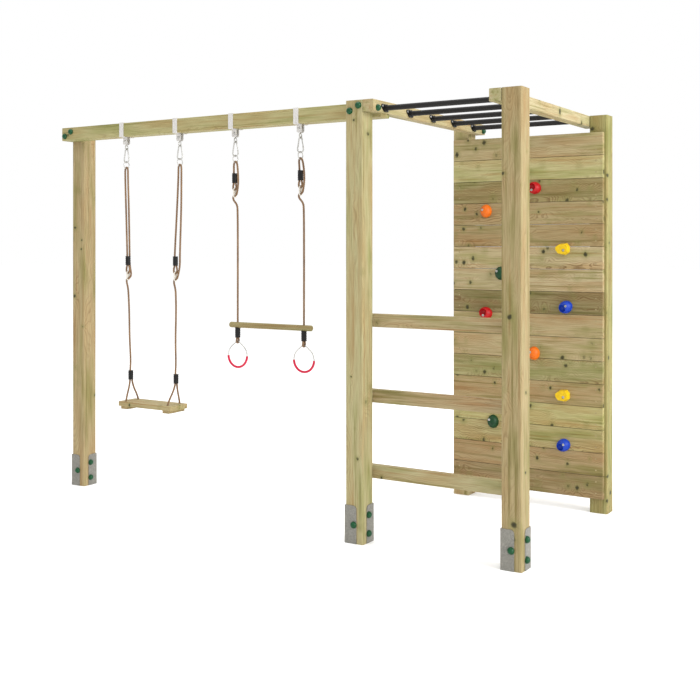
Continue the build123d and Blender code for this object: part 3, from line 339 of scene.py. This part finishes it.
MATH, VECTOR = "ShaderNodeMath", "ShaderNodeVectorMath"
NOISE, BAND = "ShaderNodeTexNoise", "ShaderNodeValToRGB"


# ---------------------------------------------------------------- treated pine
# across, up and along each grain
AXES = {"X": ("Y", "Z", "X"), "Y": ("X", "Z", "Y"), "Z": ("X", "Y", "Z")}
SEED_SHIFT = 13.7                             # metres of other wood between two timbers
RING_GROWTH = 6.5 * MM                        # a year, drawn coarser than real pine so that the grain shows
RING_BEND = (0.12, 0.12, 0.0)                 # how far the trunk wanders, in metres
KNOT_SMALL, KNOT_MORE = 4.0 * MM, 12.0 * MM   # the smallest knot, and how much more the largest has
KNOT_RAGGED = 11.0 * MM                       # how far a knot's edge wanders
KNOT_OVAL = (1.0, 0.8, 1.0)
KNOT_PUSH = 3.2                               # how far the rings swell round a knot, in knots
KNOT_FADE = 0.6                               # what is left of that swelling one knot further out
# specks of noise to a metre, across the grain twice and then along it
BEND_SPECKS = (8.0, 8.0, 1.6)                 # the trunk bends over 125 mm and 600 mm
STREAK_SPECKS = (62.0, 62.0, 1.8)             # streaks 16 mm wide and half a metre long
PATCH_SPECKS = (15.0, 15.0, 2.6)              # patches 67 mm wide and 400 mm long
FIBRE_SPECKS = (480.0, 480.0, 11.0)           # fibres 2 mm wide, coarser than real ones so that they show
FIBRE_RELIEF = 0.5 * MM
BOARD_FOOT, BOARD_PITCH = 80.0 * MM, 120.0 * MM
BOARD_APART = (0.03, 0.12, 7.0)               # how far apart in the tree the boards may be cut, in metres
# the wall's boards from the lowest up: tone, and how strongly the rings show
BOARDS = (("#93815d", 0.8), ("#a08d67", 0.5), ("#aa9f70", 0.7), ("#aea673", 0.4), ("#a39068", 0.5),
          ("#9b9468", 0.7), ("#aa9a74", 0.35), ("#a89872", 0.35), ("#877b55", 1.0), ("#b0a27e", 0.4),
          ("#b5a681", 0.8), ("#9e8d66", 0.5), ("#a3936c", 0.7), ("#968d62", 0.9), ("#b3ab7d", 0.35),
          ("#ad9e77", 0.4))


def board_by_board(tree, wood, up):
    """Cuts each board of the wall from other wood. Gives that wood, the boards' tones, how strongly their
    rings show, and the height in boards above the lowest one's foot."""
    height = add(tree, MATH, {0: up, 1: BOARD_FOOT}, operation="SUBTRACT")
    count = add(tree, MATH, {0: height, 1: BOARD_PITCH}, operation="DIVIDE")
    number = add(tree, MATH, {0: count}, operation="FLOOR")
    draw = add(tree, "ShaderNodeTexWhiteNoise", {"W": number}, noise_dimensions="1D")
    down = add(tree, MATH, {0: number, 1: -BOARD_PITCH, 2: -BOARD_FOOT - BOARD_PITCH},
               operation="MULTIPLY_ADD")
    wood = add(tree, VECTOR, {0: wood, 1: add(tree, "ShaderNodeCombineXYZ", {1: down})}, operation="ADD")
    wood = add(tree, VECTOR, {0: draw.outputs["Color"], 1: BOARD_APART, 2: wood}, operation="MULTIPLY_ADD")
    share = add(tree, MATH, {0: count, 1: len(BOARDS)}, operation="DIVIDE")
    tones, rings = (
        add(tree, BAND, {0: share}, [(index / len(BOARDS), code) for index, code in enumerate(codes)])
        for codes in ([tone for tone, _ in BOARDS], [grey(show) for _, show in BOARDS]))
    tones.color_ramp.interpolation = rings.color_ramp.interpolation = "CONSTANT"
    return wood, tones, rings, count


def knots_in(tree, wood, spacing):
    """Knots, each in a cell of its own. Gives the distance from a knot's middle, in knots, and its size."""
    cells = add(tree, "ShaderNodeTexVoronoi", {
        "Vector": add(tree, VECTOR, {0: wood, 1: KNOT_OVAL}, operation="MULTIPLY"),
        "Scale": 1 / spacing, "Randomness": 1.0})
    dice = add(tree, "ShaderNodeSeparateColor", {0: cells.outputs["Color"]})
    size = add(tree, MATH, {0: dice, 1: KNOT_MORE, 2: KNOT_SMALL}, operation="MULTIPLY_ADD")
    ragged = add(tree, NOISE, {"Vector": wood, "Scale": 1 / KNOT_RAGGED, "Detail": 2.0})
    ragged = add(tree, MATH, {0: ragged, 1: 0.5}, operation="SUBTRACT")
    off = add(tree, MATH, {0: cells.outputs["Distance"], 1: spacing}, operation="MULTIPLY")
    off = add(tree, MATH, {0: ragged, 1: KNOT_RAGGED, 2: off}, operation="MULTIPLY_ADD")
    return add(tree, MATH, {0: off, 1: size}, operation="DIVIDE"), size


def year_rings(tree, wood, near, size):
    """Growth rings, bent by the way that the tree grew and pushed aside by the knots."""
    drift = add(tree, NOISE, {"Vector": add(tree, VECTOR, {0: wood, 1: BEND_SPECKS}, operation="MULTIPLY"),
                              "Scale": 1.0, "Detail": 1.5}).outputs["Color"]
    bent = add(tree, VECTOR, {0: drift, 1: RING_BEND, 2: wood}, operation="MULTIPLY_ADD")
    level = add(tree, VECTOR, {0: bent, 1: (1.0, 1.0, 0.0)}, operation="MULTIPLY")
    radius = add(tree, VECTOR, {0: level}, operation="LENGTH")
    fade = add(tree, MATH, {0: KNOT_FADE, 1: near}, operation="POWER")
    push = add(tree, MATH, {0: size, 1: KNOT_PUSH}, operation="MULTIPLY")
    swell = add(tree, MATH, {0: fade, 1: push}, operation="MULTIPLY")
    pushed = add(tree, MATH, {0: radius, 1: swell}, operation="ADD")
    years = add(tree, MATH, {0: pushed, 1: RING_GROWTH}, operation="DIVIDE")
    phase = add(tree, MATH, {0: years}, operation="FRACT")
    # pale spring wood darkens slowly into summer wood, and ends at a sharp edge
    return add(tree, BAND, {0: phase}, [(0.0, "#000000"), (0.5, "#4a4a4a"), (0.88, "#ffffff"),
                                        (1.0, "#000000")])


def timber(name, grain, pith, seed, knots, own=None):
    """Planed pressure-treated pine. Growth rings round a pith give arches and stripes, and the preservative
    gives mossy green streaks beside pinkish tan ones. Dark knots push the rings aside. Everything runs
    through the wood, so that the faces of one timber agree. A timber has its own tone and strength of rings.
    Without them it is the wall, which takes them board by board."""
    material, tree, shader, place = start(name)
    split = add(tree, "ShaderNodeSeparateXYZ", {0: place})
    across, up, along = (split.outputs[key] for key in AXES[grain])
    wood = add(tree, "ShaderNodeCombineXYZ", {0: across, 1: up, 2: along})
    wood = add(tree, VECTOR, {0: wood, 1: (*pith, seed * SEED_SHIFT)}, operation="SUBTRACT")
    if own:
        tone, rings = colour(own[0]), own[1]
    else:
        wood, tone, rings, count = board_by_board(tree, wood, up)
    near, size = knots_in(tree, wood, knots * MM)
    year = year_rings(tree, wood, near, size)
    # long streaks, broad patches and fine fibres, all drawn out along the grain
    streak, patch, fibre = (
        add(tree, NOISE, {"Vector": add(tree, VECTOR, {0: wood, 1: specks}, operation="MULTIPLY"),
                          "Scale": 1.0, "Detail": detail})
        for specks, detail in ((STREAK_SPECKS, 3.0), (PATCH_SPECKS, 2.5), (FIBRE_SPECKS, 3.0)))
    streaks = add(tree, BAND, {0: streak}, [(0.28, "#c6c7a4"), (0.46, "#ffffff"), (0.56, "#ffffff"),
                                            (0.74, "#e9d3c0")])
    patches = add(tree, BAND, {0: patch}, [(0.30, "#cfd8b4"), (0.48, "#ffffff"), (0.70, "#f6e4d4")])
    fine = add(tree, BAND, {0: fibre}, [(0.28, "#cfc8b8"), (0.58, "#ffffff")])
    layers = [(1.0, streaks), (0.9, patches), (0.8, fine)]
    if not own:
        # the joints between the boards are shaded grooves
        edge = add(tree, MATH, {0: count, 1: 0.5}, operation="PINGPONG")
        layers.append((1.0, add(tree, BAND, {0: edge}, [(0.0, "#6f6448"), (0.014, "#ffffff")])))
    base = tone
    for strength, layer in layers:
        base = add(tree, "ShaderNodeMix", {0: strength, 6: base, 7: layer}, data_type="RGBA",
                   blend_type="MULTIPLY")
    # rings show most in the broad patches, and the wood is greenish round a knot and nearly black in it
    strong = add(tree, BAND, {0: patch}, [(0.35, "#5a5a5a"), (0.6, "#ffffff")])
    brown = add(tree, MATH, {0: add(tree, MATH, {0: year, 1: strong}, operation="MULTIPLY"), 1: rings},
                operation="MULTIPLY")
    halo = add(tree, BAND, {0: add(tree, MATH, {0: near, 1: 0.25}, operation="MULTIPLY")},
               [(0.0, "#e0e0e0"), (0.26, "#a0a0a0"), (0.62, "#000000")])
    core = add(tree, BAND, {0: near}, [(0.0, "#ffffff"), (0.60, "#eaeaea"), (1.0, "#000000")])
    for factor, code in ((brown, "#5f4526"), (halo, "#70703a"), (core, "#2a2816")):
        base = add(tree, "ShaderNodeMix", {0: factor, 6: base.outputs[2], 7: colour(code)},
                   data_type="RGBA")
    relief = add(tree, MATH, {0: fibre, 1: year}, operation="ADD")
    bump = add(tree, "ShaderNodeBump", {"Height": relief, "Strength": 0.2, "Distance": FIBRE_RELIEF})
    rough = add(tree, "ShaderNodeMapRange", {0: fibre, 3: 0.72, 4: 0.55})
    tree.links.new(base.outputs[2], shader.inputs["Base Color"])
    tree.links.new(rough.outputs[0], shader.inputs["Roughness"])
    tree.links.new(bump.outputs[0], shader.inputs["Normal"])
    shader.inputs["Specular IOR Level"].default_value = 0.25
    return material


def middle(node, axes):
    """The middle of a node across its grain."""
    low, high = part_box(node)
    return [(low[axis] + high[axis]) / 2 for axis in axes]


# grain, the pith from the middle in metres, seed, tone, strength of the rings, knots' spacing in millimetres
TIMBERS = {
    "post_front_right": ("Z", (0.012, -0.075), 1, "#9f9069", 0.35, 105.0),
    "post_front_left": ("Z", (-0.030, -0.060), 2, "#aba37a", 0.30, 110.0),
    "post_back_left": ("Z", (0.020, -0.070), 3, "#b0a278", 0.35, 110.0),
    "post_back_right": ("Z", (-0.025, 0.050), 4, "#98925f", 0.45, 95.0),
    "post_swing": ("Z", (0.005, -0.040), 5, "#a99871", 0.45, 100.0),
    "swing_beam": ("X", (0.050, 0.010), 7, "#a9a274", 0.35, 120.0),
    "rail_left": ("Y", (0.030, -0.030), 8, "#aea27b", 0.35, 100.0),
    "rail_right": ("Y", (0.030, -0.030), 9, "#b0a682", 0.35, 100.0),
    "ladder_rung_1": ("X", (0.040, 0.012), 11, "#aba27b", 0.30, 95.0),
    "ladder_rung_2": ("X", (0.040, 0.024), 12, "#a89874", 0.40, 95.0),
    "ladder_rung_3": ("X", (0.040, 0.036), 13, "#ac9d78", 0.45, 95.0),
    "seat_board": ("X", (0.010, -0.050), 30, "#a99b72", 0.35, 120.0),
    "seat_battens": ("Y", (0.010, -0.050), 31, "#a8946a", 0.35, 120.0),
    "trapeze_bar": ("X", (0.004, -0.020), 33, "#958a61", 0.30, 120.0),
}
CROSSWAYS = {"X": (1, 2), "Y": (0, 2), "Z": (0, 1)}
WALL_PITH, WALL_SEED, WALL_KNOTS = 0.03, 20, 72.0      # behind the boards' middle, and as in the table


def make_timbers():
    for node, (grain, beside, seed, tone, rings, knots) in TIMBERS.items():
        pith = [m + b for m, b in zip(middle(node, CROSSWAYS[grain]), beside)]
        paint(node, timber("treated_pine_" + node, grain, pith, seed, knots, (tone, rings)))
    face = middle("wall_boards", (1,))[0]
    pith = (face + WALL_PITH, 0.0)
    paint("wall_boards", timber("treated_pine_wall_boards", "X", pith, WALL_SEED, WALL_KNOTS))


# ---------------------------------------------------------------- metals, plastics, resin and rope
CLOUD = 14                                    # a cloud is this many grains wide
DULLER, SHINIER = 0.08, 0.06                  # how far the roughness drifts each way


def grained(name, code, painted_shade_and_tone, roughness, grain, height, metallic=0.0, cloudy=0.35):
    """A fine grain, in millimetres, with painted shade that makes its hollows a little darker, and a slow
    cloud that varies the tone and shifts the shine.
    """
    material, tree, shader, place = start(name)
    speck = add(tree, NOISE, {"Vector": place, "Scale": 1 / (grain * MM), "Detail": 3.0})
    cloud = add(tree, NOISE, {"Vector": place, "Scale": 1 / (grain * CLOUD * MM), "Detail": 2.0})
    level = add(tree, "ShaderNodeMix", {0: cloudy, 2: speck, 3: cloud}, data_type="FLOAT")
    # painted shade: the second colour falls where the speck's bump is low, in its hollows, mixed with the
    # slow cloud's darker tone
    shade = add(tree, BAND, {0: level}, [(0.35, painted_shade_and_tone), (0.6, code)])
    rough = add(tree, "ShaderNodeMapRange", {0: cloud, 3: roughness - SHINIER, 4: roughness + DULLER})
    bump = add(tree, "ShaderNodeBump", {"Height": speck, "Strength": 0.5, "Distance": height * MM})
    tree.links.new(shade.outputs[0], shader.inputs["Base Color"])
    tree.links.new(rough.outputs[0], shader.inputs["Roughness"])
    tree.links.new(bump.outputs[0], shader.inputs["Normal"])
    shader.inputs["Metallic"].default_value = metallic
    shader.inputs["Specular IOR Level"].default_value = 0.3
    return material


ZINC_CRYSTAL, ZINC_DIRT = 3 * MM, 14 * MM


def galvanised(name, dark, mid, light):
    """Hot-dip galvanised sheet: dull grey with small zinc crystals that catch the light unevenly."""
    material, tree, shader, place = start(name)
    crystal = add(tree, "ShaderNodeTexVoronoi", {"Vector": place, "Scale": 1 / ZINC_CRYSTAL,
                                                 "Randomness": 1.0})
    facet = add(tree, "ShaderNodeSeparateColor", {0: crystal.outputs["Color"]})
    dirt = add(tree, NOISE, {"Vector": place, "Scale": 1 / ZINC_DIRT, "Detail": 7.0, "Roughness": 0.7})
    level = add(tree, "ShaderNodeMix", {0: 0.55, 2: facet, 3: dirt}, data_type="FLOAT")
    shade = add(tree, BAND, {0: level}, [(0.2, dark), (0.5, mid), (0.85, light)])
    rough = add(tree, "ShaderNodeMapRange", {0: facet, 3: 0.5, 4: 0.68})
    tree.links.new(shade.outputs[0], shader.inputs["Base Color"])
    tree.links.new(rough.outputs[0], shader.inputs["Roughness"])
    shader.inputs["Metallic"].default_value = 0.25
    return material


HAIR_SPECKS = (1800.0, 1800.0, 130.0)         # hairs half a millimetre wide and 8 mm long
WEAR_SPECKS = 14.0                            # worn places 70 mm long
HAIR_RELIEF = 0.5 * MM


def rope_fibre():
    """Laid polypropylene rope: brown hairs nearly along the rope, worn paler in places."""
    material, tree, shader, place = start("laid_rope_fibre")
    lean = add(tree, VECTOR, {0: place, 1: HAIR_SPECKS}, operation="MULTIPLY")
    hair = add(tree, NOISE, {"Vector": lean, "Scale": 1.0, "Detail": 3.0})
    wear = add(tree, NOISE, {"Vector": place, "Scale": WEAR_SPECKS, "Detail": 3.0})
    level = add(tree, "ShaderNodeMix", {0: 0.3, 2: hair, 3: wear}, data_type="FLOAT")
    shade = add(tree, BAND, {0: level}, [(0.3, "#4a3320"), (0.5, "#775838"), (0.7, "#9a7a55")])
    bump = add(tree, "ShaderNodeBump", {"Height": hair, "Strength": 0.6, "Distance": HAIR_RELIEF})
    tree.links.new(shade.outputs[0], shader.inputs["Base Color"])
    tree.links.new(bump.outputs[0], shader.inputs["Normal"])
    shader.inputs["Roughness"].default_value = 0.72
    shader.inputs["Sheen Weight"].default_value = 0.2
    return material


def make_metals():
    paint("ground_anchors", galvanised("hot_dip_galvanised_anchor", "#6a6862", "#7c7a72", "#94928a"))
    paint("hanger_straps", galvanised("hot_dip_galvanised_strap", "#b9b6b2", "#cac7c3", "#d8d6d3"))
    # zinc plating: bright, with soft reflections
    bright = grained("bright_zinc_plated_steel", "#c9c8c4", "#a5a4a0", 0.3, 3.0, 0.02, metallic=0.85)
    for node in ("frame_bolts", "frame_nuts", "rail_coach_screws", "bar_socket_screws", "seat_screws",
                 "hold_bolts", "hold_t_nuts", "hanger_bolts", "hanger_links", "seat_carabiners",
                 "trapeze_carabiners", "seat_gate_left", "seat_gate_right", "trapeze_gate_left",
                 "trapeze_gate_right", "seat_rope_rings", "trapeze_rope_rings", "gym_ring_left",
                 "gym_ring_right"):
        paint(node, bright)
    # yellow passivation dulls the countersunk screws to the colour of the wood
    dull = grained("passivated_screw_steel", "#a3946e", "#7d6f50", 0.55, 2.0, 0.02, metallic=0.3)
    paint("wood_screws", dull)
    # powder coat: charcoal with a fine orange-peel
    powder = grained("charcoal_powder_coat", "#161413", "#0f0e0d", 0.55, 0.8, 0.03)
    for number in range(1, 6):
        paint(f"monkey_bar_{number}", powder)


def make_plastics():
    # moulded nylon: an even colour with a soft, slightly pebbled shine
    black = grained("black_moulded_nylon", "#0f0e0f", "#080808", 0.45, 0.6, 0.03)
    for node in ("bar_sockets", "seat_rope_sleeves", "trapeze_rope_sleeves"):
        paint(node, black)
    light = grained("pale_moulded_nylon", "#d6d0c4", "#bcb6aa", 0.45, 0.7, 0.03)
    for node in ("seat_rope_adjusters", "trapeze_rope_adjusters"):
        paint(node, light)
    # moulded caps and grips: strong colour through and through, smoother than the nylon
    paint("bolt_caps", grained("green_moulded_polypropylene", "#014a26", "#01361b", 0.35, 0.7, 0.02))
    grip = grained("crimson_moulded_polyethylene", "#cf1440", "#ab0f33", 0.4, 0.9, 0.03)
    for node in ("ring_grip_left", "ring_grip_right"):
        paint(node, grip)
    # cast resin holds: strong colour with the sandy texture that fingers grip
    # the second colour of each hold is painted shade in the sand's hollows, mixed with a darker tone
    for hue, code, painted_shade_and_tone in (("red", "#b0060e", "#84040a"), ("orange", "#dc6a06", "#b95204"),
                            ("yellow", "#dfba10", "#bd980a"), ("green", "#043a18", "#032a11"),
                            ("blue", "#0a3aaa", "#062a84")):
        paint(f"holds_{hue}", grained(f"{hue}_cast_resin", code, painted_shade_and_tone, 0.45, 1.1, 0.25))


def make_materials():
    make_timbers()
    make_metals()
    make_plastics()
    fibre = rope_fibre()
    for piece in ROPES:
        piece.data.materials.append(fibre)


make_materials()


# ---------------------------------------------------------------- floor and light
FLOOR_REACH = 60.0
FLOOR_GLOW = 0.06                             # lifts the far floor to the backdrop's white
LIGHT_AIM = Vector((0.0, 0.0, 1.0))           # the middle of the climbing frame


def make_floor():
    """A matt white studio floor that fades into the backdrop and still takes soft shadows."""
    shape = bmesh.new()
    bmesh.ops.create_grid(shape, x_segments=1, y_segments=1, size=FLOOR_REACH)
    mesh = bpy.data.meshes.new("floor")
    shape.to_mesh(mesh)
    shape.free()
    floor = new_object("floor", mesh)
    material = bpy.data.materials.new("white_studio_floor")
    material.use_nodes = True
    shader = material.node_tree.nodes["Principled BSDF"]
    shader.inputs["Base Color"].default_value = colour("#fbfbfb")
    shader.inputs["Roughness"].default_value = 1.0
    shader.inputs["Specular IOR Level"].default_value = 0.0
    shader.inputs["Emission Color"].default_value = colour("#ffffff")
    shader.inputs["Emission Strength"].default_value = FLOOR_GLOW
    floor.data.materials.append(material)


def area_light(name, place, size, power):
    """A soft square light, in metres and watts."""
    lamp = bpy.data.lights.new(name, "AREA")
    lamp.shape = "SQUARE"
    lamp.size = size
    lamp.energy = power
    light = new_object(name, lamp)
    light.location = place
    light.rotation_euler = (LIGHT_AIM - Vector(place)).to_track_quat("-Z", "Y").to_euler()


def make_light():
    world = bpy.data.worlds.new("studio")
    bpy.context.scene.world = world
    world.use_nodes = True
    backdrop = world.node_tree.nodes["Background"]
    backdrop.inputs[0].default_value = (1.0, 1.0, 1.0, 1.0)
    backdrop.inputs[1].default_value = 1.0
    area_light("key", place=(10.0, -1.0, 4.5), size=5.0, power=850.0)
    area_light("top", place=(0.0, 0.0, 10.0), size=9.0, power=500.0)
    bpy.context.scene.view_settings.view_transform = "Standard"


make_floor()
make_light()
